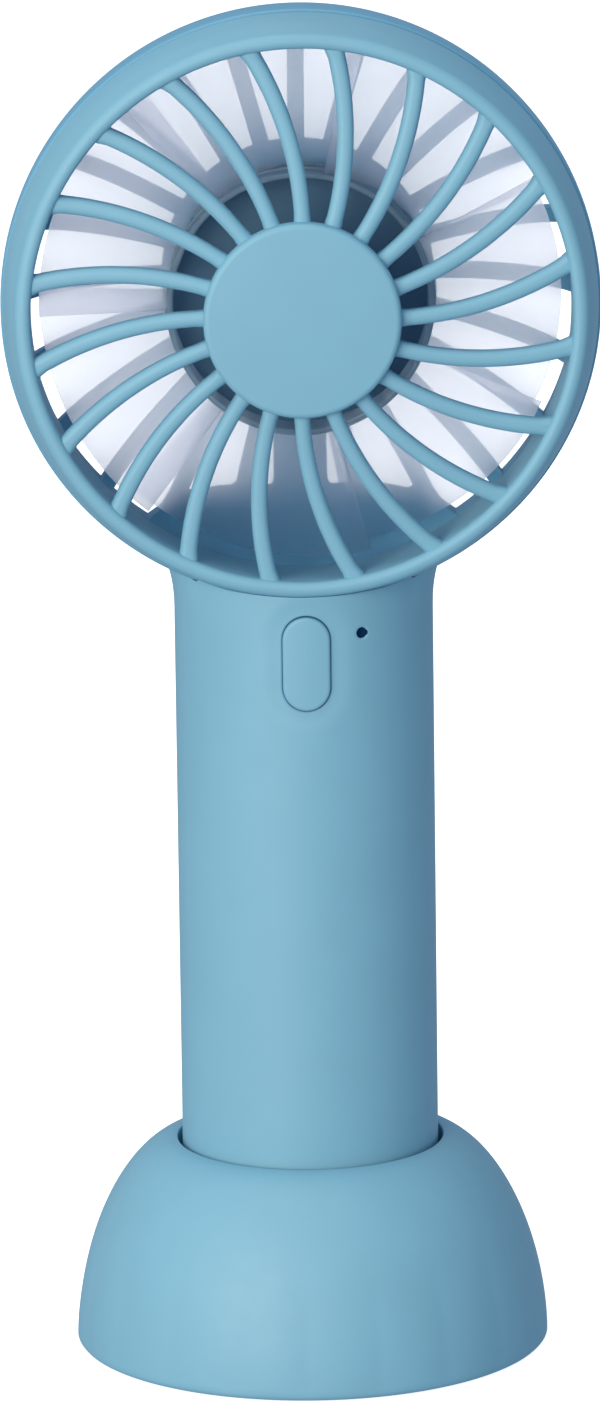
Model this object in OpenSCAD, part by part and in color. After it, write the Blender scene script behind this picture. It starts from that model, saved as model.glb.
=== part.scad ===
// A small rechargeable hand fan that stands in a round, weighted base.
// Frame: X to the right, Y to the back, Z up; the origin is on the table, at the middle of the base.

/* [Head] */
// Height of the middle of the head above the table
head_z = 182; // [180:0.5:186]
// Radius of the head at its widest
head_r = 50; // [49.5:0.5:51]
// Radius of the round back of the rear shell, which turns in from the widest point
dome_r = 27; // [26.5:0.5:27.5]
// Wall of the head's rear shell
head_wall = 2.4; // [2:0.1:2.6]
// Number of straight ribs in the rear shell
rib_count = 24; // [24:12:36]
// Width of a rear rib
rib_w = 2.8; // [2:0.1:3.2]
// Number of curved spokes in the front grille
spoke_count = 20; // [16:1:22]
// Width of a front spoke
spoke_w = 2.8; // [2.2:0.1:3]
// Sweep of a spoke, from the hub to the ring, in degrees
spoke_sweep = 12; // [8:1:16]
// Bow of a spoke, out of the straight line between its ends
spoke_bow = 2.4; // [1.8:0.1:3]
// Radius of the round cap on the front hub
cap_r = 16.4; // [15.5:0.1:17]

/* [Impeller] */
// Radius of the circle that the blade tips sweep
blade_r = 43.6; // [40:0.1:44]
// Number of blades
blade_count = 7; // [5:1:7]
// Tilt of a blade, in degrees
blade_tilt = 18; // [12:1:18]
// Radius of the impeller hub
hub_r = 22.3; // [21.8:0.1:22.4]

/* [Handle] */
// Radius of the handle
handle_r = 21.8; // [21.5:0.1:22]
// Wall of the handle
handle_wall = 2; // [1.8:0.1:2.2]
// Height of the handle's lower end above the table
handle_z = 10; // [9.7:0.1:11]
// Height of the middle of the button
button_z = 123; // [122:0.5:124]
// Width of the button
button_w = 8.3; // [7.5:0.1:9]
// Height of the button
button_h = 16.3; // [15:0.1:17]
// How far the button goes in
button_travel = 0.4; // [0.3:0.05:0.4]

/* [Base] */
// Radius of the base at its foot
base_r = 40.3; // [39.5:0.1:41]
// Height of the base's opening
base_h = 35.8; // [35:0.1:37]
// Play between the handle and the base's socket
socket_play = 0.8; // [0.6:0.1:1]

/* [Hidden] */
$fn = 64;
round_fn = 96;
over = 1;

blue = [0.48, 0.70, 0.81];
deep_blue = [0.40, 0.60, 0.73];
clear_white = [0.90, 0.91, 0.95, 0.6];
board_green = [0.10, 0.36, 0.22];
steel = [0.70, 0.71, 0.73];
copper = [0.72, 0.42, 0.20];

// Head, in radius from its axis and depth along Y
dome_c = [head_r - dome_r, -8];
dome_in = dome_r - head_wall;
rib_out = dome_r + 0.25;
strut_out = dome_r + 0.6;
strut_w = 9;
rim_front = -12.2;
rim_lip_r = head_r - 0.4;
slot_r = 46.5;
web_y = 36.4;
web_top = head_z - web_y;
web_half = 20.6;
web_slope = [6, 2.4];
cup_r = 23;
cup_wall = 1.6;
cup_front = 1.2;
cup_back = 19.2;
cup_floor = 1.8;
groove = [4.4, 1.6];

// Front grille
seam = 0.25;
ring_back = rim_front - seam;
ring_in = 44.9;
crest = [46.3, -21.1];
crest_r = 1.5;
ring_side = [[47.7, -20.8], [48.5, -17.6], [49.2, -14.6]];
skirt = [45.3, 47.2];
skirt_back = -7;
lug_angles = [60, 120, 240, 300];
lug_arc = 6;
lug_r = 48.4;
lug_y = [-9.8, -8.2];
lug_play = 0.35;
twist_open = 10;
spoke_hub_y = -22.9;
spoke_drop = 2.5;
spoke_d = 2.4;
first_spoke = 11;

// Impeller and motor
hub_front = -11;
hub_back = 0.4;
hub_wall = 1.4;
hub_floor = [-4, -2.6];
shaft_r = 1;
bearing_r = 3;
bearing_h = 2.5;
tube_r = 3.9;
stator_y = [4, 10];
stator_r = 9.6;
teeth = 9;
magnet_in = 10.1;
magnet_out = 11.6;
yoke_out = 12.5;
board_y = 13.5;

// Handle
bore_r = handle_r - handle_wall;
cap_top = handle_z + 2;
slope_foot = [handle_r, 122];
slope_head = [17, web_top];
button_gap = 0.3;
ledge = [1.2, -7];
flange_over = 1;
flange_drop = 0.2;
pcb_y = [-13.6, -12.4];
pcb_z = [98, 130];
posts = [[-8.5, 102], [8.5, 102], [-8.5, 129]];
led_at = [9.35, 127.8];
led_d = 1.9;
switch_h = 3.7;
stem_y = pcb_y[0] - switch_h - button_travel - 0.2;
usb_z = 95;
usb_size = [8.94, 7.4, 3.2];
usb_mouth = 21;
cell_r = 9.2;
cell_z = [20, 85];
cell_y = 1;
lead_d = 0.9;

// Base
socket_r = handle_r + socket_play;
floor_z = handle_z - 0.3;
base_wall = 2.2;
plate_z = [1.2, 3];
screw_ring = 31;
screw_at = [30, 150, 270];
mouth_r = socket_r + 0.2;

function arc(c, r, a0, a1, n) =
    [for (i = [0:n]) c + r * [cos(a0 + (a1 - a0) * i / n), sin(a0 + (a1 - a0) * i / n)]];
// Unit vector of a vector
function unit(v) = v / norm(v);
// Direction of a route at point i, from its neighbours
function heading(p, i) = unit(p[min(i + 1, len(p) - 1)] - p[max(i - 1, 0)]);

// Puts shapes drawn around Z on the head's axis; their Z becomes depth along Y
module on_head() { translate([0, 0, head_z]) rotate([-90, 0, 0]) children(); }
module spin(outline) { rotate_extrude($fn = round_fn) polygon(outline); }
module tube(r_out, r_in, lo, hi) {
    translate([0, 0, lo]) difference() {
        cylinder(r = r_out, h = hi - lo);
        translate([0, 0, -over]) cylinder(r = r_in, h = hi - lo + 2 * over);
    }
}
// A round wire along a route; its sides stay square to the route
module wire(p, d, sides = 8) {
    ring = [for (i = [0:len(p) - 1])
        let (t = heading(p, i), u = unit(cross(t, [1, 0.02, 0.03])), v = cross(t, u))
        [for (k = [0:sides - 1]) p[i] + d / 2 * (u * cos(360 * k / sides) + v * sin(360 * k / sides))]];
    last = len(p) - 1;
    polyhedron(
        points = [for (r = ring) each r],
        faces = concat(
            [for (i = [0:last - 1], k = [0:sides - 1]) let (n = (k + 1) % sides)
                [i * sides + k, (i + 1) * sides + k, (i + 1) * sides + n, i * sides + n]],
            [[for (k = [0:sides - 1]) k]],
            [[for (k = [sides - 1:-1:0]) last * sides + k]]));
}
// A flat shape with half-round ends, drawn in X and Y
module stadium(w, h) {
    square([w, h - w], center = true);
    for (s = [-1, 1]) translate([0, s * (h - w) / 2]) circle(d = w);
}
// Half of the head's section, as radius and depth: straight up to the dome's centre, then round
module head_section(r) {
    translate([0, -40]) square([dome_c[0] + r, 40 + dome_c[1]]);
    translate([0, dome_c[1] - 0.5]) square([dome_c[0], r + 0.5]);
    intersection() {
        translate(dome_c) circle(r = r, $fn = round_fn);
        translate(dome_c - [0.5, 0.5]) square(r + 1);
    }
}
module head_solid(r) { rotate_extrude($fn = round_fn) head_section(r); }
// A band bent around the dome's centre, straight below the head's axis
module dome_band(w, r0, r1, a0, a1) {
    translate([-w / 2, dome_c[1], head_z - dome_c[0]]) rotate([0, 90, 0])
        rotate([0, 0, a0]) rotate_extrude(angle = a1 - a0, $fn = round_fn)
        translate([r0, 0]) square([r1 - r0, w]);
}
module turned(a) { translate([0, 0, head_z]) rotate([0, a, 0]) translate([0, 0, -head_z]) children(); }
// The half space behind (side = 1) or in front of (side = -1) the handle's parting plane
module half(side) {
    translate([-60, side > 0 ? 0 : -60, 0]) cube([120, 60, 160]);
}
// The handle's outline with its sloping upper back, smaller by inset
module handle_body(r, inset) {
    intersection() {
        cylinder(r = r, h = 160, $fn = round_fn);
        translate([-40, 0, 0]) rotate([90, 0, 90]) linear_extrude(80)
            polygon([[-40, 0], [40, 0], [slope_foot[0] + over, 0], [slope_foot[0] - inset, slope_foot[1]],
                [slope_head[0] - inset, slope_head[1] - inset], [-40, slope_head[1] - inset]]);
    }
}
module button_prism(w, h, y0, y1) {
    translate([0, y1, button_z]) rotate([90, 0, 0]) linear_extrude(y1 - y0) stadium(w, h);
}

// The rim and the bowl, open inside slot_r except for the closed web at the bottom
module rear_bowl() {
    difference() {
        rotate_extrude($fn = round_fn) difference() {
            union() {
                polygon([[head_r - head_wall - 2, rim_front], [rim_lip_r, rim_front], [head_r, rim_front + 1],
                    [head_r, dome_c[1]], [head_r - head_wall - 2, dome_c[1]]]);
                intersection() {
                    translate(dome_c) circle(r = dome_r, $fn = round_fn);
                    translate([cup_r + 1, dome_c[1]]) square(60);
                }
            }
            head_section(dome_in);
        }
        translate([0, 0, -40]) linear_extrude(80) difference() {
            circle(r = slot_r, $fn = round_fn);
            polygon([[-web_half, web_y], [web_half, web_y], [web_half, web_y] + web_slope,
                [36, 52], [-36, 52], [-web_half - web_slope[0], web_y + web_slope[1]]]);
        }
    }
}
module rear_ribs() {
    for (k = [0:rib_count - 1]) if (k != rib_count / 2)
        turned(180 + k * 360 / rib_count) dome_band(rib_w, dome_in + 0.4, rib_out, 8, 92);
    dome_band(strut_w, dome_in + 0.3, strut_out, 25, 92.5);
}
module motor_cup() {
    spin([[cup_r - cup_wall, cup_front], [cup_r, cup_front], [cup_r, cup_back - over],
        [cup_r - over, cup_back], [0, cup_back], [0, cup_back - cup_floor],
        [tube_r, cup_back - cup_floor], [tube_r, cup_back - cup_floor - 1.8],
        [tube_r + 1.6, cup_back - cup_floor - 1.8], [tube_r + 1.6, cup_back - cup_floor],
        [cup_r - cup_wall, cup_back - cup_floor]]);
    for (a = [30, 150, 270]) rotate([0, 0, a]) translate([15, 0, board_y + 1])
        cylinder(r = 1.6, h = cup_back - cup_floor - board_y - 1 + 0.5, $fn = 32);
}
// Room for a grille lug: an entry from the front and a run along the twist
module lug_slot() {
    rotate([0, 0, -twist_open - lug_arc / 2 - 1])
        rotate_extrude(angle = lug_arc + twist_open + 2, $fn = round_fn)
        translate([head_r - head_wall - over, lug_y[0] - lug_play])
        square([lug_r - head_r + head_wall + over + lug_play, lug_y[1] - lug_y[0] + 2 * lug_play]);
    rotate([0, 0, -twist_open - lug_arc / 2 - 1]) rotate_extrude(angle = lug_arc + 2, $fn = round_fn)
        translate([head_r - head_wall - over, rim_front - over])
        square([lug_r - head_r + head_wall + over + lug_play, lug_y[1] - rim_front + over]);
}
module usb_tunnel(shrink, y, h) {
    translate([0, y, usb_z]) rotate([90, 0, 0]) linear_extrude(h)
        rotate(90) stadium(usb_size[2] - shrink, usb_size[0] - shrink);
}
module rear_shell() color(blue) difference() {
    union() {
        on_head() { rear_bowl(); motor_cup(); }
        rear_ribs();
        difference() {
            intersection() { handle_body(handle_r, 0); half(1); }
            translate([0, 0, -over]) cylinder(r = 60, h = cap_top + over);
            difference() { handle_body(bore_r, handle_wall); on_head() head_solid(dome_r - 0.5); }
            on_head() head_solid(dome_in + 0.6);
        }
    }
    on_head() for (a = lug_angles) rotate([0, 0, a]) lug_slot();
    dome_band(groove[0], strut_out - groove[1], strut_out + 2, 15, 93);
    // Way out of the cup for the leads
    translate([-groove[0] / 2 + 0.2, 15.6, head_z - cup_r - 1.8]) cube([groove[0] - 0.4, 5, 6.8]);
    usb_tunnel(-0.4, 30, 20);
}
// Room for the head and the front ring, larger by grow
module head_room(grow) {
    spin(concat([[0, -60], [crest[0] + 1 + grow, -60], [crest[0] + 1 + grow, crest[1] - crest_r]],
        [for (p = ring_side) p + [seam + grow, 0]],
        [[head_r + 0.02 + grow, rim_front], [head_r + 0.02 + grow, 60], [0, 60]]));
}
module handle_front() color(blue) {
    difference() {
        intersection() { cylinder(r = handle_r, h = 145, $fn = round_fn); half(-1); }
        translate([0, 0, -over]) cylinder(r = bore_r, h = 160, $fn = round_fn);
        translate([0, 0, -over]) cylinder(r = 60, h = cap_top + over);
        on_head() head_room(0);
        button_prism(button_w + 2 * button_gap, button_h + 2 * button_gap, -30, -15);
        translate([led_at[0], 0, led_at[1]]) rotate([90, 0, 0]) cylinder(d = led_d, h = 30);
    }
    // Ledge under the front ring, which closes the top of the handle
    intersection() {
        translate([0, 0, 120]) cylinder(r = bore_r + 0.5, h = 30, $fn = round_fn);
        translate([-60, -60, 120]) cube([120, 60 + ledge[1], 30]);
        on_head() difference() {
            head_room(ledge[0]);
            head_room(0);
        }
    }
    for (p = posts) translate([p[0], pcb_y[0], p[1]]) rotate([90, 0, 0]) difference() {
        cylinder(r = 1.9, h = sqrt(pow(bore_r, 2) - pow(p[0], 2)) + pcb_y[0] + 0.8);
        translate([0, 0, -over]) cylinder(d = 1.8, h = 4 + over);
    }
    // Tongues that snap inside the rear half
    intersection() {
        for (s = [-1, 1], z = [30, 60, 90, 115]) translate([s * 19.2 - 1.2, -4, z]) cube([2.4, 7, 6]);
        union() {
            cylinder(r = bore_r - 0.1, h = 150, $fn = round_fn);
            intersection() { cylinder(r = bore_r + 0.5, h = 150, $fn = round_fn); half(-1); }
        }
    }
}
module handle_cap() color(blue) {
    translate([0, 0, handle_z]) cylinder(r = handle_r, h = cap_top - handle_z, $fn = round_fn);
    tube(bore_r - 0.05, bore_r - 1.6, cap_top - 0.5, cap_top + 5);
}
module lead_cover() color(blue)
    dome_band(groove[0] - 0.1, strut_out - 0.6, strut_out, 46, 92.5);
module grille_catch() color(deep_blue) {
    a = 38;
    translate([0, dome_c[1], head_z - dome_c[0]]) rotate([a, 0, 0])
        translate([-3.1, -2.3, -dome_in - 0.3]) cube([6.2, 4.6, 1.3]);
}

module spoke() {
    // Ends of the spoke's middle line; it bows out of their chord along a circle
    p = [cap_r - 2.4, 0];
    q = (ring_in + 0.9) * [cos(spoke_sweep), sin(spoke_sweep)];
    chord = norm(q - p);
    r = (pow(chord / 2, 2) + pow(spoke_bow, 2)) / (2 * spoke_bow);
    lean = atan2(q[1], q[0] - p[0]);
    span = 2 * asin(chord / 2 / r);
    translate([p[0], 0, spoke_hub_y]) rotate([0, -asin(spoke_drop / chord), 0]) rotate([0, 0, lean])
        translate([chord / 2, r - spoke_bow, 0])
        rotate([0, 0, -90 - span / 2]) rotate_extrude(angle = span, $fn = round_fn)
        translate([r, 0]) intersection() {
            translate([0, 0.6]) circle(r = spoke_w * 0.66, $fn = 48);
            translate([-spoke_w / 2, -spoke_d]) square([spoke_w, 1.5 * spoke_d]);
        }
}
module front_grille() color(blue) on_head() {
    spin(concat([[skirt[0], skirt_back], [ring_in, ring_back], [ring_in, crest[1]]],
        arc(crest, crest_r, 200, 300, 7), ring_side,
        [[rim_lip_r, ring_back], [skirt[1], ring_back], [skirt[1], skirt_back]]));
    for (k = [0:spoke_count - 1]) rotate([0, 0, spoke_sweep - first_spoke - k * 360 / spoke_count])
        mirror([0, 1, 0]) spoke();
    translate([0, 0, -24.3]) cylinder(r = cap_r - 1, h = 3.4, $fn = round_fn);
    for (a = lug_angles) rotate([0, 0, a - lug_arc / 2]) rotate_extrude(angle = lug_arc, $fn = round_fn)
        translate([skirt[1] - 0.5, lug_y[0]]) square([lug_r - skirt[1] + 0.5, lug_y[1] - lug_y[0]]);
}
module hub_cap() color(blue) on_head()
    spin(concat([[0, -26]], arc([cap_r - 1.2, -24.8], 1.2, 270, 360, 5), [[cap_r, -23.2],
        [cap_r - 1, -23.2], [cap_r - 1, -24.3], [0, -24.3]]));

module blade() {
    // A flat plate tilted about its radius and clipped to the swept ring
    intersection() {
        rotate([blade_tilt, 0, 0]) translate([0, -30, -0.6]) cube([60, 60, 1.2]);
        rotate([0, 0, -24]) rotate_extrude(angle = 48, $fn = round_fn)
            translate([hub_r - 0.8, -9]) square([blade_r - hub_r + 0.8, 18]);
    }
}
module impeller() color(clear_white) on_head() {
    tube(hub_r, hub_r - hub_wall, hub_front, hub_back);
    tube(hub_r - 0.5, shaft_r, hub_floor[0], hub_floor[1]);
    tube(4, shaft_r, -9, hub_floor[0] + 0.5);
    for (k = [0:blade_count - 1]) rotate([0, 0, k * 360 / blade_count])
        translate([0, 0, -5]) intersection() {
            blade();
            translate([0, 0, -5]) cylinder(r = 60, h = 10.2);
        }
}
module rotor_yoke() color(steel) on_head() {
    tube(yoke_out, magnet_out, hub_floor[1], stator_y[1] + 1);
    tube(yoke_out - 0.2, shaft_r, hub_floor[1], hub_floor[1] + 0.9);
}
module magnet_ring() color([0.22, 0.22, 0.24])
    on_head() tube(magnet_out, magnet_in, 2.6, stator_y[1] + 0.6);
module motor_shaft() color(steel) on_head() translate([0, 0, -8.8]) cylinder(r = shaft_r, h = 25);
module shaft_clip() color(steel) on_head() tube(2.2, shaft_r, 15.3, 15.8);

module bearing_tube() color([0.80, 0.66, 0.36]) on_head() tube(tube_r, bearing_r, 2.2, cup_back - cup_floor);
module bearing(lo) {
    tube(bearing_r, bearing_r - 0.6, lo, lo + bearing_h);
    tube(shaft_r + 0.65, shaft_r + 0.04, lo, lo + bearing_h);
    tube(bearing_r - 0.55, shaft_r + 0.6, lo + 0.4, lo + bearing_h - 0.4);
}
module front_bearing() color(steel) on_head() bearing(2.6);
module rear_bearing() color(steel) on_head() bearing(12.4);
module stator_core() color([0.45, 0.46, 0.48]) on_head() difference() {
    translate([0, 0, stator_y[0]]) cylinder(r = stator_r, h = stator_y[1] - stator_y[0]);
    translate([0, 0, -over]) cylinder(r = tube_r, h = 30);
    for (k = [0:teeth - 1]) rotate([0, 0, (k + 0.5) * 360 / teeth]) {
        translate([7, 0, -over]) cylinder(r = 1.7, h = 30, $fn = 32);
        translate([7, -0.35, -over]) cube([4, 0.7, 30]);
    }
}
module stator_coils() color(copper) on_head() for (k = [0:teeth - 1]) rotate([0, 0, k * 360 / teeth])
    for (y = [stator_y[0] - 0.9, stator_y[1]]) translate([5.3, -1.5, y]) cube([3.2, 3, 0.9]);
module motor_board() color(board_green) on_head() tube(18, 6, board_y, board_y + 1);
// Three leads, from the motor board down behind the strut and into the handle
lead_start = [[15, 15.0], [17.5, 15.4], [19.5, 16.6], [21, 18]];
lead_end = [[0.5, 131.5], [-4, 129.5], [-8, 127.5], [pcb_y[1], 126]];
lead_r = strut_out - 1.1;
module motor_leads() for (k = [-1:1]) color(k == 0 ? "white" : (k < 0 ? "firebrick" : "black"))
    wire(concat([for (p = lead_start) [k * 1.2, p[1], head_z - p[0]]],
        [for (a = [86:-6:20]) [k * 1.2, dome_c[1] + lead_r * sin(a), head_z - dome_c[0] - lead_r * cos(a)]],
        [for (p = lead_end) [k * 1.2, p[0], p[1]]]), lead_d);

module power_button() color(blue) {
    intersection() {
        button_prism(button_w, button_h, -30, -15);
        translate([0, 0, 100]) tube(handle_r + 0.35, bore_r - 1.2, 0, 50, $fn = round_fn);
    }
    intersection() {
        // The flange sits lower than the face, to clear the ledge
        translate([0, 0, -flange_over - flange_drop])
            button_prism(button_w + 2 * flange_over, button_h + 2 * flange_over, -30, -15);
        translate([0, 0, 100]) tube(bore_r - 0.3, bore_r - 1.2, 0, 50);
    }
    translate([0, stem_y, button_z]) rotate([90, 0, 0]) cylinder(r = 1.5, h = 1.2);
}
module main_board() color(board_green) difference() {
    translate([-11, pcb_y[0], pcb_z[0]]) cube([22, pcb_y[1] - pcb_y[0], pcb_z[1] - pcb_z[0]]);
    for (p = posts) translate([p[0], 0, p[1]]) rotate([90, 0, 0]) cylinder(d = 2.2, h = 30);
}
module board_screws() color(steel) for (p = posts) translate([p[0], pcb_y[1] + 1, p[1]]) rotate([90, 0, 0]) {
    cylinder(d = 3.4, h = 1);
    cylinder(d = 1.8, h = 5);
}
module tact_switch() color([0.15, 0.15, 0.16]) {
    translate([-3, pcb_y[0] - 2.6, button_z - 3]) cube([6, 2.6, 6]);
    translate([0, pcb_y[0] - 2, button_z]) rotate([90, 0, 0]) cylinder(r = 1.7, h = switch_h - 2);
}
module status_led() color("white")
    translate([led_at[0] - 0.8, pcb_y[0] - 0.8, led_at[1] - 0.6]) cube([1.6, 0.8, 1.2]);
module light_pipe() color([0.2, 0.3, 0.45])
    translate([led_at[0], pcb_y[0] - 0.9, led_at[1]]) rotate([90, 0, 0]) {
        cylinder(d = led_d, h = 4.7);
        cylinder(d = led_d + 1, h = 1.6);
    }
module usb_socket() color(steel) difference() {
    usb_tunnel(0, usb_mouth, usb_size[1]);
    usb_tunnel(0.7, usb_mouth + over, usb_size[1] - 0.4);
}
module usb_board() color(board_green)
    translate([-7, 4, usb_z - usb_size[2] / 2 - 1.2]) cube([14, 14, 1.2]);
module charge_leads() for (s = [-1, 1]) color(s > 0 ? "firebrick" : "black")
    wire([[s * 2, 5, 92.7], [s * 2, 3.4, 92.9], [s * 2, -2, 95], [s * 2.4, -7, 99], [s * 3, -9.5, 102],
        [s * 3, pcb_y[1], 104]], lead_d);

module battery_cell() color([0.25, 0.45, 0.62]) translate([0, cell_y, cell_z[0]])
    cylinder(r = cell_r, h = cell_z[1] - cell_z[0]);
module battery_cradle() color([0.2, 0.2, 0.21]) {
    intersection() {
        translate([0, cell_y, 0]) tube(cell_r + 1.5, cell_r, 26, 80);
        translate([-20, cell_y, 0]) cube([40, 20, 100]);
    }
    // Feet that stand on the inside of the rear half
    for (s = [-4, 4], z = [30, 70]) translate([s - 0.8, 10, z])
        cube([1.6, sqrt(pow(bore_r, 2) - 25) - 10, 6]);
}
module battery_pad() color([0.25, 0.25, 0.25]) translate([0, cell_y, 17.1]) cylinder(r = 6.5, h = 2.7);
module battery_tabs() color(steel) for (z = [cell_z[0] - 0.2, cell_z[1]])
    translate([-2.5, cell_y - 8, z]) cube([5, 12, 0.2]);
module battery_leads() {
    color("firebrick") wire([[1, -6, 85.65], [1, -8, 86.6], [1, -9.5, 92], [1, -10.5, 97],
        [1, pcb_y[1], 100.5]], lead_d);
    color("black") wire([[0, -6.2, 19.35], [0, -9.0, 19.4], [0, -10.2, 21.5], [0, -10.2, 50],
        [0, -10.2, 84], [-1.5, -10.5, 95], [-2, pcb_y[1], 100.5]], lead_d);
}

// Radius of the domed base, from its foot up to its mouth
function dome_radius(r, t) = mouth_r + (r - mouth_r) * pow(1 - pow(t, 1.75), 1 / 1.8);
module dome_section(r, h, lip, n = 14) {
    polygon(concat([[0, 0.3], [r - 0.8, 0.3]],
        [for (i = [0:n]) let (t = i / n) [dome_radius(r, t), 1.3 + (h - 1.3) * t]], lip));
}
module base_shell() color(blue) difference() {
    room_h = base_h - base_wall + over;
    union() {
        rotate_extrude($fn = round_fn) difference() {
            dome_section(base_r, base_h, [[0, base_h]]);
            translate([0, -over]) dome_section(base_r - base_wall, room_h, [[0, room_h]]);
        }
        translate([0, 0, floor_z - 1.8]) cylinder(r = socket_r + 1.8, h = base_h - 1 - floor_z + 1.8);
        intersection() {
            for (a = screw_at) rotate([0, 0, a])
                translate([screw_ring, 0, plate_z[1]]) cylinder(r = 2.6, h = 25);
            rotate_extrude($fn = round_fn) dome_section(base_r - 1, base_h - 1, [[0, base_h - 1]]);
        }
    }
    translate([0, 0, floor_z]) cylinder(r = socket_r, h = 60, $fn = round_fn);
    for (a = screw_at) rotate([0, 0, a]) translate([screw_ring, 0, 0]) cylinder(d = 2.2, h = 12);
}
module base_plate() color(deep_blue) difference() {
    translate([0, 0, plate_z[0]])
        cylinder(r = base_r - base_wall - 0.2, h = plate_z[1] - plate_z[0], $fn = round_fn);
    for (a = screw_at) rotate([0, 0, a]) translate([screw_ring, 0, 0]) cylinder(d = 2.8, h = 12);
}
module base_weight() color([0.35, 0.36, 0.38]) difference() {
    translate([0, 0, plate_z[1]]) cylinder(r = 36, h = 4.6);
    for (a = screw_at) rotate([0, 0, a]) translate([screw_ring, 0, 0]) cylinder(r = 3, h = 12);
}
module base_screws() color(steel) for (a = screw_at) rotate([0, 0, a])
    translate([screw_ring, 0, plate_z[0] - 0.9]) {
        cylinder(d = 4.2, h = 0.9);
        cylinder(d = 2.2, h = 9);
    }
module foot_pad() color([0.3, 0.3, 0.32]) tube(38, 34.5, 0, plate_z[0]);

base_shell();
base_plate();
base_weight();
base_screws();
foot_pad();
rear_shell();
handle_front();
handle_cap();
lead_cover();
grille_catch();
front_grille();
hub_cap();
impeller();
rotor_yoke();
magnet_ring();
motor_shaft();
shaft_clip();
bearing_tube();
front_bearing();
rear_bearing();
stator_core();
stator_coils();
motor_board();
motor_leads();
power_button();
main_board();
board_screws();
tact_switch();
status_led();
light_pipe();
usb_socket();
usb_board();
charge_leads();
battery_cell();
battery_cradle();
battery_pad();
battery_tabs();
battery_leads();
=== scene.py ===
"""Looks of the hand fan: detailed meshes, materials, floor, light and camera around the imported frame."""

import math

import bmesh
import bpy
from mathutils import Matrix, Vector


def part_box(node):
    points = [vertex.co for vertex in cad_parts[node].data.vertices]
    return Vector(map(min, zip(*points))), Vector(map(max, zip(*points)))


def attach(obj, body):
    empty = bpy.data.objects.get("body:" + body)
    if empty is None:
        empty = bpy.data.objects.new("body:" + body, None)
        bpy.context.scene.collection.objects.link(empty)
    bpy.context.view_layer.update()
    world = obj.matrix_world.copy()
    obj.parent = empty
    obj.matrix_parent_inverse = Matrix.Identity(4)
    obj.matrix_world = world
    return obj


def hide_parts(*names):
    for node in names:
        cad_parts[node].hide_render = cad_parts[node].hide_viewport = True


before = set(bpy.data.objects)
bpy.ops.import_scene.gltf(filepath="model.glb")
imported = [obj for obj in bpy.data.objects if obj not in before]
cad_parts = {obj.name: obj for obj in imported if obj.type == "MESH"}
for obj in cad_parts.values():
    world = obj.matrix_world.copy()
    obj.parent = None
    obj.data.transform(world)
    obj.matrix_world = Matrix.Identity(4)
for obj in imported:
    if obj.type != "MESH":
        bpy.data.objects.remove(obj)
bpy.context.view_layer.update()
MM = 0.001  # every shape below is drawn in millimetres


def mm_box(node):
    """Lowest and highest corner of a CAD node, in millimetres."""
    return [[v / MM for v in corner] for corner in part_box(node)]


# ---------------------------------------------------------------- sizes, from the frame
shaft_lo, shaft_hi = mm_box("motor_shaft")
head_z = (shaft_lo[2] + shaft_hi[2]) / 2  # height of the head's axis
lip_r = mm_box("front_grille")[1][0]  # widest radius of the front ring
head_r = lip_r + 0.4
cap_r = mm_box("hub_cap")[1][0]
cap_front = mm_box("hub_cap")[0][1]
handle_r = mm_box("handle_front")[1][0]
handle_lo = mm_box("handle_cap")[0][2]
cap_top = mm_box("handle_front")[0][2]  # top of the end cap, where the handle's wall begins
base_r = mm_box("base_shell")[1][0]
base_h = mm_box("base_shell")[1][2]
button_lo, button_hi = mm_box("power_button")
flange, flange_drop = 1.0, 0.2  # the button's hidden flange stands out around it, and sits a little lower
button_trim = 0.35  # the key is drawn a little smaller than its CAD outline
button_w = button_hi[0] - button_lo[0] - 2 * flange - button_trim
button_h = button_hi[2] - button_lo[2] - 2 * flange - flange_drop - button_trim
button_z = button_hi[2] - (button_h + button_trim) / 2
button_face = -button_lo[1]
pipe_lo, pipe_hi = mm_box("light_pipe")
led_x, led_z = (pipe_lo[0] + pipe_hi[0]) / 2, (pipe_lo[2] + pipe_hi[2]) / 2
usb_lo, usb_hi = mm_box("usb_socket")

# Head, in radius from its axis and depth
dome_r, dome_wall, dome_y = 27.0, 2.4, -8.0  # the back is rounded with this radius, around dome_x and dome_y
dome_x = head_r - dome_r
rim_front = -12.2
slot_r = 46.5  # the openings between the rear ribs end here
rib_count, rib_w = 24, 2.8
rib_r = (dome_r - 2.0, dome_r + 0.25)
rib_sink = 0.35  # the ribs rise out of the rim
strut_w, strut_r = 9.0, (dome_r - 2.1, dome_r + 0.6)
groove_w, groove_d = 4.4, 1.6
rib_start, strut_start, bar_end = 14, 20, 92  # degrees around the dome's centre
web_drop, web_half = 36.4, 20.6  # the web's top edge: its distance below the axis, and half its level part
web_slope, web_fall = (6.0, 2.4), 1.35  # then a slope, across and down, and a steeper one
web_blend, web_reach = 1.5, 31.0
cup_r, cup_front, cup_back, cup_wall, cup_floor = 23.0, 1.2, 19.2, 1.6, 1.8

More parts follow.
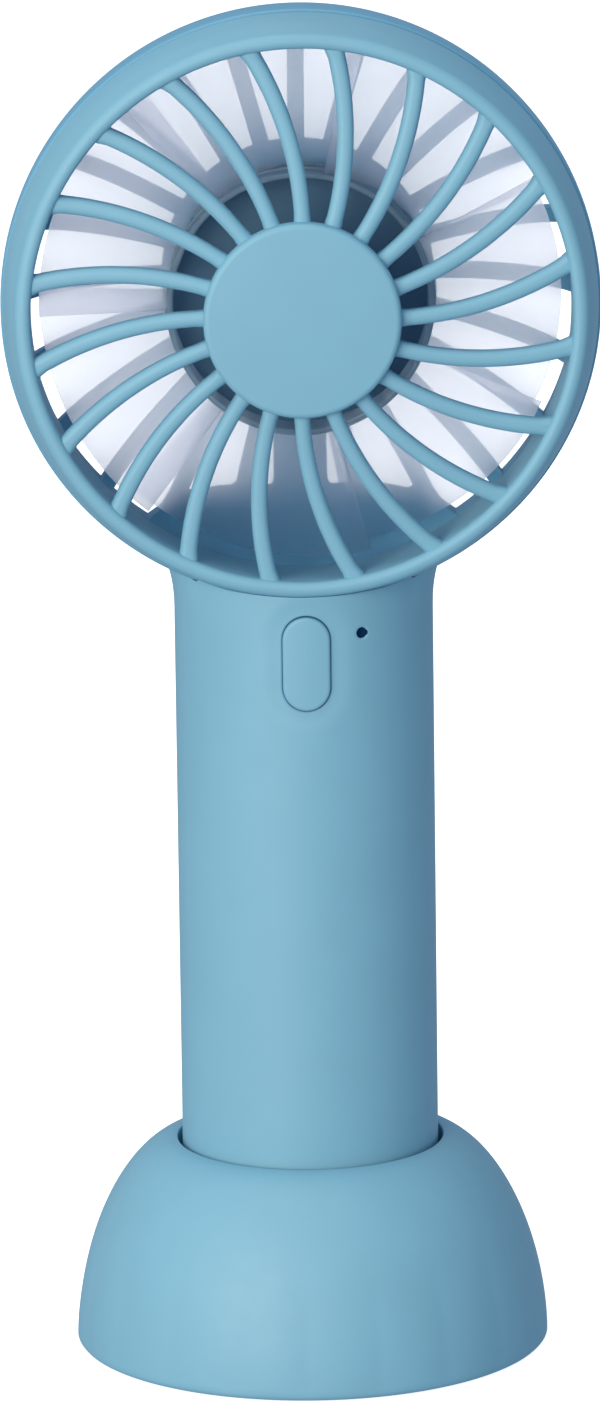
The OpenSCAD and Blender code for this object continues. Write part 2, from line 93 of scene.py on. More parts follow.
# Front ring and spokes
ring_in, ring_front, ring_back = 44.9, -22.6, rim_front - 0.25
ring_step = 0.8  # its inner face opens to the skirt this far in front of the rim
ring_side = ((47.25, ring_front), (48.65, -17.4), (lip_r, ring_back))  # its outer face, as radius and depth
skirt_r, skirt_back = (45.3, 47.2), -7.0
lug_angles, lug_arc, lug_r, lug_y = (60, 120, 240, 300), 6.0, 48.4, (-9.8, -8.2)
spoke_count, spoke_sweep, spoke_bow, first_spoke = 20, 12.0, 2.4, 11.0
spoke_w, spoke_d = (2.6, 2.9), 2.45  # pairs are for the hub's end and the ring's end
spoke_front, spoke_sink = (-24.2, -21.7), (2.4, 1.3)
spoke_swell, swell_reach = (0.3, 0.6), 1.2
plate_r, plate_y = cap_r - 1, (-24.3, -20.9)
cap_back, cap_crown = -23.2, 0.05

# Impeller
blade_r, blade_count, blade_lap, blade_y, blade_rise = 43.6, 7, 2.2, -5.0, 4.6
blade_span = 180 / blade_count + blade_lap  # degrees to each side of a blade's middle
blade_half = (0.55, 0.3)  # half its thickness, at the hub and at the tip
hub_r, hub_wall, hub_front, hub_back = 22.3, 1.0, -11.0, 0.4
hub_in = hub_r - hub_wall
bead, bead_w, bead_rows = 0.3, 0.6, (-7.2, -3.0)
tick_count, tick_h, tick_arc = 48, 0.24, 0.9
disc_y, boss_r, boss_front, shaft_r = (-4.0, -2.6), 4.0, -9.0, 1.05

# Handle
handle_wall = 2.0
bore_r = handle_r - handle_wall
DEG = math.radians(1) * handle_r  # length of one degree around the handle
slope_foot, slope_head = (handle_r, 122.0), (17.0, head_z - web_drop)  # slope up the back, depth and height
search_z = 128.0  # the handle's back meets the dome above this height
gap = 0.22  # around the button
led_d = 1.9
dish_d, dish_w = 0.34, 3.4  # shallow dish around the button
shoulder = 0.15  # rounding of the front's upper edge
flare_out, flare_reach = 1.8, 10.0

# Base
socket_r = handle_r + 0.8
mouth_r = socket_r + 0.2
floor_z = handle_lo - 0.3
base_wall, foot_round = 2.2, 1.3
flutes, flute_d, flute_phase = 20, 0.176, 2.5
flute_foot, flute_top, flute_fade = 2.5, 27.0, 16.0  # they fade in from the foot, and out below the top


# ---------------------------------------------------------------- mesh helpers
def wave(angle):
    """Cosine and sine of an angle in degrees."""
    return math.cos(math.radians(angle)), math.sin(math.radians(angle))


def smooth(x):
    """0 up to 0 and 1 from 1 on, with a soft step between."""
    x = min(max(x, 0.0), 1.0)
    return x * x * (3 - 2 * x)


def mix(a, b, t):
    return a + (b - a) * t


def spread(a, b, n):
    """n + 1 even steps from a to b."""
    return [mix(a, b, i / n) for i in range(n + 1)]


def through(stops, counts):
    """Even steps from each stop to the next, as many as counts says."""
    out = [stops[0]]
    for a, b, n in zip(stops, stops[1:], counts):
        out += spread(a, b, n)[1:]
    return out


def marks(values, lo, hi, step):
    """Even steps of about one size from lo to hi that also pass through the values between them."""
    stops = sorted([lo, hi] + [v for v in values if lo < v < hi])
    return through(stops, [max(1, round((b - a) / step)) for a, b in zip(stops, stops[1:])])


def on_head(r, angle, y):
    """A point around the head's axis; angles run anticlockwise from the right, seen from the front."""
    c, s = wave(angle)
    return Vector((r * c, y, head_z + r * s))


def on_base(r, angle, z):
    """A point around the upright axis; angles run anticlockwise from the right, seen from above."""
    c, s = wave(angle)
    return Vector((r * c, r * s, z))


def rounded(corners, steps=5):
    """An outline whose corners, given as (x, y, radius), are rounded off."""
    out = []
    for i, (x, y, radius) in enumerate(corners):
        here = Vector((x, y))
        before = Vector(corners[i - 1][:2]) - here
        after = Vector(corners[(i + 1) % len(corners)][:2]) - here
        if radius <= 0 or before.length * after.length == 0:
            out.append((x, y))
            continue
        u, v = before.normalized(), after.normalized()
        half = u.angle(v) / 2
        reach = min(radius / math.tan(half), before.length * 0.48, after.length * 0.48)
        centre = here + (u + v).normalized() * reach / math.cos(half)
        a, b = here + u * reach - centre, here + v * reach - centre
        for k in range(steps + 1):
            turn = a.angle_signed(b) * -k / steps if a.length and b.length else 0
            c, s = math.cos(turn), math.sin(turn)
            out.append((centre.x + a.x * c - a.y * s, centre.y + a.x * s + a.y * c))
    return out


def stadium(w, h, steps=14):
    """Outline with half-round ends, as (across, up) pairs."""
    out = []
    for end, start in ((1, 0), (-1, 180)):
        for a in spread(start, start + 180, steps):
            c, s = wave(a)
            out.append((w / 2 * c, end * (h - w) / 2 + w / 2 * s))
    return out


class Shape:
    """Vertices and faces of one piece, in millimetres."""

    def __init__(self):
        self.verts, self.faces = [], []

    def add(self, points):
        start = len(self.verts)
        self.verts.extend(Vector(p) for p in points)
        return list(range(start, len(self.verts)))

    def loft(self, rings, loop=False):
        """Joins closed rings of points; the ends are capped unless the rings run in a loop."""
        rows = [self.add(ring) for ring in rings]
        count = len(rows[0])
        for a, b in zip(rows, rows[1:] + rows[:1] if loop else rows[1:]):
            for i in range(count):
                j = (i + 1) % count
                self.faces.append((a[i], a[j], b[j], b[i]))
        if not loop:
            self.faces.extend((tuple(rows[0]), tuple(rows[-1])))
        return self

    def turn(self, outline, place, steps=192):
        """A ring or solid of revolution."""
        angles = spread(0, 360, steps)[:-1]
        return self.loft([[place(r, a, t) for r, t in outline] for a in angles], loop=True)

    def arc(self, outline, place, a0, a1, steps=8):
        """Part of a ring, closed at both ends."""
        return self.loft([[place(r, a, t) for r, t in outline] for a in spread(a0, a1, steps)])

    def sheet(self, points, quads, outer, inner):
        """A wall: points of a flat net, its quads, and where each point lies outside and inside."""
        top, low = self.add([outer(p) for p in points]), self.add([inner(p) for p in points])
        edges = {}  # each quad's sides; one without its reverse lies on the border
        for q in quads:
            self.faces.append(tuple(top[i] for i in q))
            self.faces.append(tuple(low[i] for i in reversed(q)))
            for a, b in zip(q, q[1:] + q[:1]):
                edges[(a, b)] = True
        for a, b in edges:
            if (b, a) not in edges:
                self.faces.append((top[b], top[a], low[a], low[b]))
        return self


class Net:
    """A flat net of quads over columns and rows, with windows that run smoothly to a hole's outline.

    A window says which box it takes out, how to find the nearest point of the hole's outline, and the steps.
    """

    def __init__(self, columns, rows, windows=()):
        self.points, self.quads = [], []
        at = {}
        taken = [self.window_range(columns, rows, w) for w in windows]

        def corner(i, j):
            if (i, j) not in at:
                at[(i, j)] = len(self.points)
                self.points.append((columns[i], rows[j]))
            return at[(i, j)]

        for i in range(len(columns) - 1):
            for j in range(len(rows) - 1):
                if not any(i0 <= i < i1 and j0 <= j < j1 for i0, i1, j0, j1 in taken):
                    self.quads.append(
                        (corner(i, j), corner(i + 1, j), corner(i + 1, j + 1), corner(i, j + 1)))
        for w, (i0, i1, j0, j1) in zip(windows, taken):
            border = [corner(i, j0) for i in range(i0, i1)] + [corner(i1, j) for j in range(j0, j1)]
            border += [corner(i, j1) for i in range(i1, i0, -1)] + [corner(i0, j) for j in range(j1, j0, -1)]
            self.fill(border, w["nearest"], w["steps"])

    @staticmethod
    def window_range(columns, rows, w):
        """First and last column and row of a window's box."""
        def index(values, v):
            return min(range(len(values)), key=lambda k: abs(values[k] - v))

        x0, x1, y0, y1 = w["box"]
        return index(columns, x0), index(columns, x1), index(rows, y0), index(rows, y1)

    def fill(self, border, nearest, steps):
        """Rings of quads from a window's border to its hole; a step is what is left of the way."""
        last = border
        for f in steps:
            ring = []
            for k in border:
                p, q = Vector(self.points[k]), Vector(nearest(self.points[k]))
                ring.append(len(self.points))
                self.points.append(tuple(q.lerp(p, f)))
            for k in range(len(border)):
                n = (k + 1) % len(border)
                self.quads.append((last[k], last[n], ring[n], ring[k]))
            last = ring


def piece(name, shape, material, body, nodes, crease=32):
    """Makes a Blender object that rides on a body and stands for CAD nodes."""
    mesh = bpy.data.meshes.new(name)
    mesh.from_pydata([v * MM for v in shape.verts], [], shape.faces)
    work = bmesh.new()
    work.from_mesh(mesh)
    bmesh.ops.remove_doubles(work, verts=work.verts, dist=0.002 * MM)
    bmesh.ops.dissolve_degenerate(work, edges=work.edges, dist=0.001 * MM)
    bmesh.ops.recalc_face_normals(work, faces=work.faces)
    work.to_mesh(mesh)
    work.free()
    mesh.shade_smooth()
    mesh.set_sharp_from_angle(angle=math.radians(crease))
    obj = bpy.data.objects.new(name, mesh)
    bpy.context.scene.collection.objects.link(obj)
    mesh.materials.append(material)
    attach(obj, body)
    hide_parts(*nodes)


# ---------------------------------------------------------------- materials
def linear(r, g, b):
    """Scene colour of an sRGB colour given as 0 to 255."""
    levels = [v / 255 for v in (r, g, b)]
    return tuple(((v + 0.055) / 1.055) ** 2.4 if v > 0.04 else v / 12.92 for v in levels) + (1.0,)


def material(name, color, roughness, metallic=0.0, grain=0.3, bump=0.04, mottle=0.03, stretch=(1, 1, 1),
             **sockets):
    """A node material: slow colour drift, uneven gloss and a fine moulded or brushed grain."""
    drift, patch, relief_h = 14.0, 3.0, 0.1  # sizes in millimetres, like grain
    uneven = 0.03
    m = bpy.data.materials.new(name)
    m.use_nodes = True
    nodes, links = m.node_tree.nodes, m.node_tree.links
    shader = nodes["Principled BSDF"]
    shader.inputs["Metallic"].default_value = metallic
    for socket, value in sockets.items():
        shader.inputs[socket.replace("_", " ")].default_value = value
    coords = nodes.new("ShaderNodeTexCoord")
    mapping = nodes.new("ShaderNodeMapping")
    mapping.inputs["Scale"].default_value = stretch
    links.new(coords.outputs["Object"], mapping.inputs["Vector"])

    def noise(size, detail):
        n = nodes.new("ShaderNodeTexNoise")
        n.inputs["Scale"].default_value = 1 / (size * MM)
        n.inputs["Detail"].default_value = detail
        links.new(mapping.outputs["Vector"], n.inputs["Vector"])
        return n.outputs["Fac"]

    def ramp(fac, low, high):
        r = nodes.new("ShaderNodeMapRange")
        r.inputs["From Min"].default_value, r.inputs["From Max"].default_value = 0.3, 0.7
        r.inputs["To Min"].default_value, r.inputs["To Max"].default_value = low, high
        links.new(fac, r.inputs["Value"])
        return r.outputs["Result"]

    tint = nodes.new("ShaderNodeMix")
    tint.data_type = "RGBA"
    tint.inputs["A"].default_value = tuple(c * (1 - mottle) for c in color[:3]) + (1.0,)
    tint.inputs["B"].default_value = tuple(min(1.0, c * (1 + mottle)) for c in color[:3]) + (1.0,)
    links.new(ramp(noise(drift, 2.0), 0.0, 1.0), tint.inputs["Factor"])
    links.new(tint.outputs["Result"], shader.inputs["Base Color"])
    links.new(ramp(noise(patch, 3.0), roughness - uneven, roughness + uneven), shader.inputs["Roughness"])
    relief = nodes.new("ShaderNodeBump")
    relief.inputs["Strength"].default_value = bump
    relief.inputs["Distance"].default_value = relief_h * MM
    links.new(noise(grain, 3.0), relief.inputs["Height"])
    links.new(relief.outputs["Normal"], shader.inputs["Normal"])
    return m


BLUE = material("satin_blue", linear(117, 173, 200), 0.54, grain=0.25, bump=0.12, mottle=0.02,
                Specular_IOR_Level=0.5)
# Darker copy of satin_blue for the head's back and its small parts inside: painted shade, the same plastic as
# the handle.
BLUE_PAINTED_SHADE = material("satin_blue_painted_shade", linear(100, 161, 195), 0.45, grain=0.25, bump=0.12, mottle=0.02,
                     Specular_IOR_Level=0.3)
VEIL = material("clear_blade", linear(232, 234, 244), 0.95, grain=1.5, bump=0.01, mottle=0.01, Alpha=0.47,
                Transmission_Weight=1.0, IOR=1.4)
# Darker, bluer and near-opaque copy of the impeller's clear plastic for its disc: painted shade of the recess
# behind the cap.
SHADED_HUB = material("hub_painted_shade", linear(104, 148, 182), 0.4, grain=1.5, bump=0.01, mottle=0.01, Alpha=0.9,
                 Transmission_Weight=0.4, IOR=1.3)
FROST = material("frosted_wall", linear(158, 190, 212), 0.5, grain=1.5, bump=0.01, mottle=0.01, Alpha=0.72,
                 Transmission_Weight=0.5, IOR=1.3)
PLATE = material("plate_blue", linear(96, 148, 182), 0.5, grain=0.3, bump=0.15)
IRON = material("weight_iron", linear(92, 94, 98), 0.55, 0.9, grain=0.8, bump=0.3, mottle=0.12)
STEEL = material("plated_steel", linear(186, 188, 192), 0.26, 1.0, grain=0.6, bump=0.05, stretch=(1, 1, 0.1))
BRASS = material("turned_brass", linear(202, 168, 96), 0.28, 1.0, grain=0.5, bump=0.05, stretch=(1, 6, 1))
COPPER = material("enamelled_copper", linear(176, 98, 52), 0.3, 0.9, grain=0.35, bump=0.5, stretch=(1, 1, 6))
BOARD = material("board_green", linear(26, 92, 58), 0.35, grain=0.9, bump=0.15, mottle=0.15)
SLATE = material("dark_board", linear(80, 100, 118), 0.45, grain=0.9, bump=0.15, mottle=0.1)
RUBBER = material("dark_rubber", linear(58, 62, 70), 0.75, grain=0.4, bump=0.25, mottle=0.06)
FOAM = material("dark_foam", linear(50, 50, 54), 0.95, grain=0.7, bump=0.9, mottle=0.15)
BLACK = material("black_plastic", linear(32, 32, 36), 0.4, grain=0.3, bump=0.15)
MAGNET = material("ferrite", linear(62, 60, 62), 0.6, 0.3, grain=0.4, bump=0.3, mottle=0.1)
WRAP = material("cell_wrap", linear(52, 104, 150), 0.2, grain=5.0, bump=0.08, mottle=0.04, Coat_Weight=0.4)
LENS = material("led_lens", linear(10, 42, 78), 0.6, grain=1.0, bump=0.02, mottle=0.02,
                Specular_IOR_Level=0.0)
RED = material("red_lead", linear(170, 34, 36), 0.4, grain=0.6, bump=0.05)
WHITE = material("white_lead", linear(225, 225, 222), 0.4, grain=0.6, bump=0.05)


# ---------------------------------------------------------------- front grille
def spoke_line(t):
    """Middle of a spoke at t along it, in the plane of the head; it bows out of its chord along a circle."""
    c, s = wave(spoke_sweep)
    start = Vector((cap_r - spoke_sink[0], 0))
    end = Vector((c, s)) * (ring_in + spoke_sink[1])
    chord = end - start
    radius = (chord.length**2 / 4 + spoke_bow**2) / (2 * spoke_bow)
    centre = (start + end) / 2 + Vector((-chord.y, chord.x)).normalized() * (radius - spoke_bow)
    turn = 2 * math.asin(chord.length / 2 / radius) * t
    c, s = math.cos(turn), math.sin(turn)
    arm = start - centre
    return centre + Vector((arm.x * c - arm.y * s, arm.x * s + arm.y * c))


def spoke(shape, angle):
    """One spoke, with a rounded front; it widens where it runs into the ring and the hub."""
    c, s = wave(angle)
    rings = []
    for t in spread(0, 1, 36):
        here, ahead, behind = spoke_line(t), spoke_line(min(t + 0.01, 1)), spoke_line(max(t - 0.01, 0))
        along = (ahead - behind).normalized()
        across = Vector((-along.y, along.x))
        w, front = mix(*spoke_w, t), mix(*spoke_front, t)
        for widen, away in zip(spoke_swell, (here.length - cap_r, ring_in - here.length)):
            w += widen * max(0.0, 1 - max(away, 0) / swell_reach) ** 2
        back = front + spoke_d
        corners = [(-w / 2, back, 0.3), (-w / 2, front, 1.2), (w / 2, front, 1.2), (w / 2, back, 0.3)]
        ring = []
        for x, y in rounded(corners, 6):
            p = here + across * x
            ring.append(Vector((p.x * c - p.y * s, y, head_z + p.x * s + p.y * c)))
        rings.append(ring)
    shape.loft(rings)


def front_grille():
    """Ring with its skirt and lugs, the spokes, and the plate that the cap sits on."""
    shape = Shape()
    ring = rounded([
        (skirt_r[0], skirt_back, 0.4), (ring_in, rim_front - ring_step, 0), (ring_in, ring_front, 1.35),
        (*ring_side[0], 1.5), (*ring_side[1], 14), (*ring_side[2], 0.3),
        (skirt_r[1], ring_back, 0), (skirt_r[1], skirt_back, 0.4)], 7)
    shape.turn(ring, on_head)
    for k in range(spoke_count):
        spoke(shape, first_spoke - spoke_sweep + k * 360 / spoke_count)
    front, back = plate_y
    plate = [(0, front, 0), (plate_r, front, 0.1), (plate_r, back, 0.5), (0, back, 0)]
    shape.turn(rounded(plate, 4), on_head, 96)
    root = skirt_r[1] - 0.5
    front, back = lug_y
    lug = rounded([(root, front, 0), (lug_r, front, 0.3), (lug_r, back, 0.3), (root, back, 0)], 3)
    for a in lug_angles:
        shape.arc(lug, on_head, a - lug_arc / 2, a + lug_arc / 2)
    piece("grille_ring", shape, BLUE, "grille", ["front_grille"])


def hub_cap():
    """Cap over the plate, with a rounded edge and a very slightly crowned face."""
    outline = rounded([
        (0, cap_front, 0), (cap_r, cap_front + cap_crown, 1.0), (cap_r, cap_back, 0.25),
        (plate_r, cap_back, 0), (plate_r, plate_y[0], 0), (0, plate_y[0], 0)], 7)
    piece("grille_cap", Shape().turn(outline, on_head), BLUE, "grille", ["hub_cap"])


# ---------------------------------------------------------------- impeller
def impeller_wall():
    """Drum that carries the blades, with two beads around it and fine ticks between them."""
    outline = [(hub_in, hub_front, 0.4), (hub_r, hub_front, 0.5)]
    for y in bead_rows:
        outline += [(hub_r, y - 0.2, 0), (hub_r + bead, y, 0.1), (hub_r + bead, y + bead_w, 0.1),
                    (hub_r, y + bead_w + 0.2, 0)]
    outline += [(hub_r, hub_back, 0.3), (hub_in, hub_back, 0.3)]
    shape = Shape().turn(rounded(outline, 4), on_head)
    root, top = hub_r - 0.2, hub_r + tick_h
    front, back = bead_rows[0] + bead_w, bead_rows[1]
    for k in range(tick_count):
        a = k * 360 / tick_count
        shape.arc([(root, front), (top, front), (top, back), (root, back)], on_head, a, a + tick_arc, 2)
    piece("impeller_wall", shape, FROST, "rotor", ["impeller"])


def impeller_disc():
    """Plate that closes the drum, with the boss on the shaft."""
    edge = hub_in + 0.05
    front, back = disc_y
    outline = rounded([
        (edge, front, 0), (edge, back, 0), (shaft_r, back, 0), (shaft_r, boss_front, 0.2),
        (boss_r, boss_front, 0.4), (boss_r, front, 0.5)], 5)
    # The disc takes the darker copy of the impeller's plastic: painted shade in the recess.
    piece("impeller_disc", Shape().turn(outline, on_head), SHADED_HUB, "rotor", ["impeller"])


def blade_face(middle, side):
    """Front (side -1) or back (side 1) of a blade, over degrees from its middle and radius."""
    def at(p):
        a, r = p
        u = a / blade_span
        depth = blade_y - blade_rise * (u + 0.12 * math.sin(math.pi * u))
        edge = min(1.0, (blade_span - abs(a)) / 1.2, (blade_r - r) / 0.6 + 0.25)  # thin at its outline
        half = mix(*blade_half, (r - hub_r) / (blade_r - hub_r)) * math.sqrt(max(edge, 0.02))
        return on_head(r, middle + a, depth + side * half)
    return at


def impeller_blades():
    """Clear blades that overlap a little, each pitched across its width."""
    net = Net(spread(-blade_span, blade_span, 40), spread(hub_r - 0.3, blade_r, 16))
    shape = Shape()
    for k in range(blade_count):
        middle = k * 360 / blade_count
        shape.sheet(net.points, net.quads, blade_face(middle, -1), blade_face(middle, 1))
    piece("impeller_blades", shape, VEIL, "rotor", ["impeller"], crease=50)


# ---------------------------------------------------------------- rear shell
def dome_depth(radius, r):
    """Depth of the rounded back at a radius from the head's axis."""
    return dome_y + math.sqrt(max(radius**2 - max(r - dome_x, 0) ** 2, 0))


def dome_arc(radius, t0, t1, steps):
    """Part of the rounded back's outline, as radius and depth."""
    return [(dome_x + radius * math.sin(t), dome_y + radius * math.cos(t)) for t in spread(t0, t1, steps)]


def bar_section(width, radii, edges, middle=0.0, steps=5):
    """Rounded box across a bar, as distance across and radius from the dome's centre."""
    (x0, x1), (r0, r1), (e0, e1) = (middle - width / 2, middle + width / 2), radii, edges
    return rounded([(x0, r0, e0), (x0, r1, e1), (x1, r1, e1), (x1, r0, e0)], steps)


def bent_bar(shape, angle, section, start, sink=0.0):
    """A bar bent around the dome's centre, at an angle around the head; it rises out of the rim by sink."""
    c, s = wave(angle)
    rings = []
    for a in spread(start, bar_end, 26):
        ca, sa = wave(a)
        low = sink * (1 - smooth((a - start) / 10))
        ring = []
        for x, r in section:
            out = dome_x + (r - low) * ca
            ring.append(Vector((out * c - x * s, dome_y + (r - low) * sa, head_z + out * s + x * c)))
        rings.append(ring)
    shape.loft(rings)


def rear_bars(shape):
    """Ribs all around, and below a strut: a channel with two sides and a floor."""
    for k in range(rib_count):
        if k != rib_count / 2:
            rib = bar_section(rib_w, rib_r, (0.4, 0.8))
            bent_bar(shape, 90 + k * 360 / rib_count, rib, rib_start, rib_sink)
    side_w, side_x = (strut_w - groove_w) / 2, (strut_w + groove_w) / 4
    for side in (-1, 1):
        bent_bar(shape, -90, bar_section(side_w, strut_r, (0.3, 0.5), side * side_x, 4), strut_start)
    w, low, top = groove_w / 2 + 0.2, strut_r[0], strut_r[1] - groove_d
    bent_bar(shape, -90, [(-w, low), (-w, top), (w, top), (w, low)], strut_start)


def web_top(x):
    """How far below the axis the closed web begins; it rises a little beside each rib."""
    over = max(abs(x) - web_half, 0)
    drop = web_drop + over * web_slope[1] / web_slope[0] + max(over - web_slope[0], 0) * web_fall
    edges = [strut_w / 2]
    for k in range(1, 4):
        c, s = wave(k * 360 / rib_count - 90)
        edges += [(web_drop * c + side * rib_w / 2) / -s for side in (-1, 1)]
    near = min(abs(abs(x) - e) for e in edges)
    if near < web_blend:
        drop -= web_blend - math.sqrt(web_blend**2 - (web_blend - near) ** 2)
    return drop + 0.1 * math.exp(-((abs(x) - web_half) / 1.2) ** 2)  # softens the start of the slope


def web_face(radius):
    """Outside or inside of the web, over distance across and 0 to 1 down to the rim."""
    def at(p):
        x, t = p
        low = math.sqrt((slot_r + 0.25) ** 2 - x * x)
        down = mix(min(web_top(x), low - 0.05), low, t)
        return Vector((x, dome_depth(radius, math.hypot(x, down)), head_z - down))
    return at


def rear_head():
    """Rim, ribs, strut, the cup that holds the motor, and the closed web at the bottom."""
    shape = Shape()
    inner = dome_r - dome_wall
    lip_in, lip_out, lip_end = head_r - dome_wall, head_r - 0.05, dome_y - 1
    lip = rounded([(lip_in, rim_front, 0.3), (lip_out, rim_front, 0.5), (head_r, lip_end, 0)], 5)[:-1]
    outside = dome_arc(dome_r, math.pi / 2, math.asin((slot_r - dome_x) / dome_r), 14)
    inside = dome_arc(inner, math.asin((slot_r - dome_x) / inner), math.pi / 2, 8)
    shape.turn(lip + outside + inside, on_head, 240)
    rear_bars(shape)
    cup_in, floor_y = cup_r - cup_wall, cup_back - cup_floor
    shape.turn(rounded([
        (cup_in, cup_front, 0.3), (cup_r, cup_front, 0.4), (cup_r, cup_back, 1.2), (0, cup_back, 0),
        (0, floor_y, 0), (cup_in, floor_y, 0.5)], 6), on_head)
    net = Net(spread(-web_reach, web_reach, 248), spread(0, 1, 14))
    shape.sheet(net.points, net.quads, web_face(dome_r), web_face(inner))
    # The head's back is drawn in the darker copy of the blue: painted shade inside the head.
    piece("head_back", shape, BLUE_PAINTED_SHADE, "fan", ["rear_shell"])


# ---------------------------------------------------------------- handle
def flare(angle, below):
    """How far the handle swells where it runs into the head, at its sides."""
    side = smooth((abs(wave(angle)[0]) - 0.8) / 0.2)
    return flare_out * side * max(0.0, 1 - max(below, 0) / flare_reach) ** 2.4


def head_floor(x, y):
    """Height at which the front ring or the head's side passes over the handle."""
    side_gap, ring_gap = 0.03, 0.04
    r = head_r + side_gap
    for (r0, y0), (r1, y1) in zip(ring_side, ring_side[1:]):
        if y < y1 and r > head_r:
            r = mix(r0, r1, max((y - y0) / (y1 - y0), 0)) + ring_gap
    return head_z - math.sqrt(r * r - x * x)


def from_spine(w, h, x, z):
    """From the middle line of a half-round-ended shape to a point: where on the line, and the way there."""
    half = abs(h - w) / 2
    foot = Vector((0, min(max(z, -half), half))) if h > w else Vector((min(max(x, -half), half), 0))
    return foot, Vector((x, z)) - foot


def from_outline(w, h, x, z):
    """Distance from a half-round-ended outline, less than 0 inside."""
    return from_spine(w, h, x, z)[1].length - min(w, h) / 2


def window(size, middle, reach, steps):
    """A hole for Net in a wall of degrees and heights; reach is how far its box goes out, in mm."""
    (w, h), (a0, z0), (side, low, high) = size, middle, reach
    side /= DEG

    def nearest(p):
        foot, away = from_spine(w, h, (p[0] - a0) * DEG, p[1] - z0)
        edge = foot + away.normalized() * min(w, h) / 2
        return a0 + edge.x / DEG, z0 + edge.y

    return {"box": (a0 - side, a0 + side, z0 - low, z0 + high), "nearest": nearest, "steps": steps}


def edge_dip(distance, width, depth):
    """How far a wall drops at a crisp edge, such as the lip of a hole."""
    return depth * max(0.0, 1 - distance / width) ** 2


def seam_dip(to_seam):
    """The parting line between the handle's halves; to_seam is in degrees."""
    return 0.16 * max(0.0, 1 - to_seam / 0.8)


def handle_front():
    """Front half, over degrees around the handle and heights, with holes for the button and the light."""
    hole, spot = (button_w + 2 * gap, button_h + 2 * gap), (led_d, led_d)
    led_angle = -math.degrees(math.acos(led_x / handle_r))
    fine = (0.8, 0.6, 0.42, 0.28, 0.17, 0.09, 0.045, 0.02, 0.008, 0)  # closer and closer to the hole
    windows = [window(hole, (-90, button_z), (6.2, 10.4, 8.7), fine),
               window(spot, (led_angle, led_z), (2.6, 2.6, 2.6), (0.6, 0.3, 0.12, 0.04, 0))]
    (w0, w1, z0, top), (l0, l1, k0, k1) = [w["box"] for w in windows]
    fine_z, stretched = 112, 14  # close rows start at this height; so many rows stretch up to the head
    columns = [-180, -179.6, -179.2] + marks([w0, w1, l0, l1], -178, -2, 1.6) + [-0.8, -0.4, 0]
    rows = [cap_top + 0.05, cap_top + 0.3] + spread(cap_top + 1, fine_z - 1, 40)
    rows += marks([z0, k0, k1], fine_z, top, 0.6) + [top + 1 + i for i in range(stretched)]
    net = Net(columns, rows, windows)

    def fronting(a):
        """1 where the wall faces forward, fading to 0 at the sides."""
        return smooth((-wave(a)[1] - 0.5) / 0.3)

    def height(r, a, z):
        """Rows above the button's window stretch up to the head, which the wall meets at radius r."""
        if z <= top:
            return z
        c, s = wave(a)
        return mix(top, head_floor(r * c, r * s), 1 - (1 - (z - top) / stretched) ** 1.6)

    def outer(p):
        a, z = p
        edge = handle_r + flare(a, 0) - shoulder * fronting(a)
        up = height(edge, a, z)
        below = height(edge, a, top + stretched) - up
        r = handle_r + flare(a, below)
        if below < shoulder:
            r -= fronting(a) * (shoulder - math.sqrt(max(shoulder**2 - (shoulder - below) ** 2, 0)))
        around = from_outline(*hole, (a + 90) * DEG, up - button_z)
        r -= dish_d * (1 - smooth((around - 0.3) / dish_w)) + edge_dip(around, 0.25, 0.2)
        r -= edge_dip(from_outline(*spot, (a - led_angle) * DEG, z - led_z), 0.25, 0.15)
        return on_base(r - seam_dip(min(a + 180, -a)), a, up)

    def inner(p):
        a, z = p
        return on_base(bore_r, a, height(bore_r, a, z))

    shape = Shape().sheet(net.points, net.quads, outer, inner)

    # Ledge under the front ring
    def ledge_at(drop):
        def at(p):
            x = p[0] * math.sqrt((bore_r + 0.5) ** 2 - p[1] ** 2)
            return Vector((x, p[1], head_floor(x, p[1]) - drop))
        return at

    ledge = Net(spread(-1, 1, 40), spread(-bore_r - 0.4, -7, 20))
    shape.sheet(ledge.points, ledge.quads, ledge_at(0.03), ledge_at(1.2))
    piece("handle_front_shell", shape, BLUE, "fan", ["handle_front"], crease=40)


def slope_y(z):
    """Depth of the flat slope that runs up the back of the handle to the web."""
    (foot_y, foot_z), (end_y, end_z) = slope_foot, slope_head
    return mix(foot_y, end_y, max(z - foot_z, 0) / (end_z - foot_z))


def back_top(a):
    """Height where a column of the back half meets the middle of the dome's wall, or the top of the slope."""
    x, y = handle_r * wave(a)[0], handle_r * wave(a)[1]
    lo, hi = search_z, slope_head[1] - 0.05
    middle = dome_r - dome_wall / 2
    for _ in range(24):
        z = (lo + hi) / 2
        depth = min(y, slope_y(z))
        across = x * depth / y if y > 1e-6 else x
        reach = dome_x + math.sqrt(middle**2 - min(max(depth - dome_y, 0), middle) ** 2)
        inside = depth < dome_y + middle and math.hypot(across, head_z - z) < reach
        lo, hi = (lo, z) if inside else (z, hi)
    return (lo + hi) / 2


def cut_by_slope(r, a, z, inset):
    """Radius of the round wall where the slope cuts it off, with a rounded edge."""
    s, soft = wave(a)[1], 1.2
    if s <= 0.05:
        return r
    cut = (slope_y(z) - inset) / s
    near = max(soft - abs(r - cut), 0) / soft
    return min(r, cut) - near * near * soft / 4


